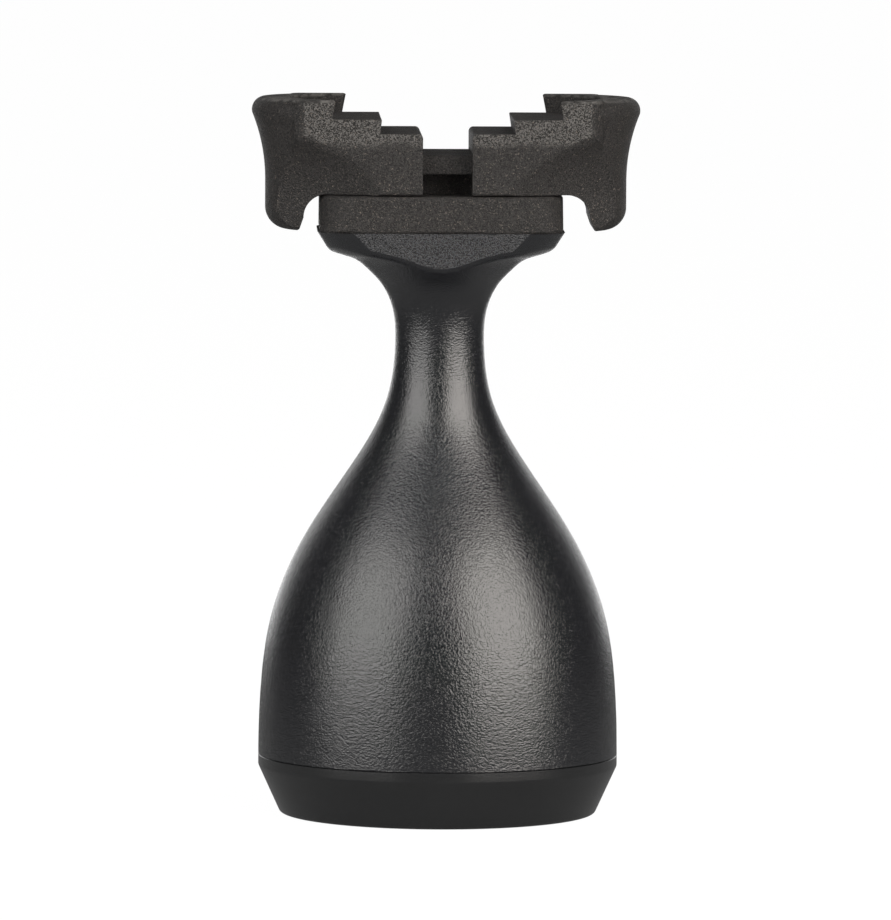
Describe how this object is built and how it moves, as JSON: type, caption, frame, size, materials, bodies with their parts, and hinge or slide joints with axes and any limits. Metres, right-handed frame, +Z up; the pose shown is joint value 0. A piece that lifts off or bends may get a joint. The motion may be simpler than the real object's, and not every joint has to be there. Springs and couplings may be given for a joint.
{
  "type": "miniature painting handle",
  "caption": "Bulb-shaped palm grip on a flat base, with a waisted neck and two sprung stepped jaws on a rail that grip the base of a figure.",
  "frame": {"origin": "middle of the base cap's underside, on the table", "axes": "+Z up through the neck, X along the jaws' travel with +X to the picture's right, -Y towards the picture's front"},
  "size_m": [0.0654, 0.0606, 0.1208],
  "materials": {
    "grip_abs": "satin black moulding with a fine leather-like grain",
    "cap_abs": "smooth matt black moulding",
    "head_nylon": "dry warm charcoal moulding with a fine spark-eroded grain",
    "zinc_steel": "bright zinc plate",
    "ground_steel": "ground bright",
    "spring_steel": "drawn wire"
  },
  "bodies": {
    "handle": {"handle_body": "grip_abs", "base_cap": "cap_abs", "base_cap_screws": "zinc_steel", "head_block": "head_nylon", "jaw_rail": "head_nylon", "tie_bolt": "zinc_steel", "tie_bolt_washer": "zinc_steel", "tie_nut": "zinc_steel", "spring_anchor_pins": "ground_steel", "left_spring": "spring_steel", "right_spring": "spring_steel"},
    "left_jaw_slide": {"left_jaw": "head_nylon", "left_stop_pins": "ground_steel", "left_spring_screw": "zinc_steel"},
    "right_jaw_slide": {"right_jaw": "head_nylon", "right_stop_pins": "ground_steel", "right_spring_screw": "zinc_steel"}
  },
  "joints": [
    {"name": "left_jaw_travel", "type": "slide", "parent": "handle", "child": "left_jaw_slide", "axis": [-1, 0, 0], "range_m": [0, 0.009], "stiffness_N_per_m": 700, "springref_m": -0.003, "deforming": ["left_spring"]},
    {"name": "right_jaw_travel", "type": "slide", "parent": "handle", "child": "right_jaw_slide", "axis": [1, 0, 0], "range_m": [0, 0.009], "stiffness_N_per_m": 700, "springref_m": -0.003, "deforming": ["right_spring"]}
  ]
}
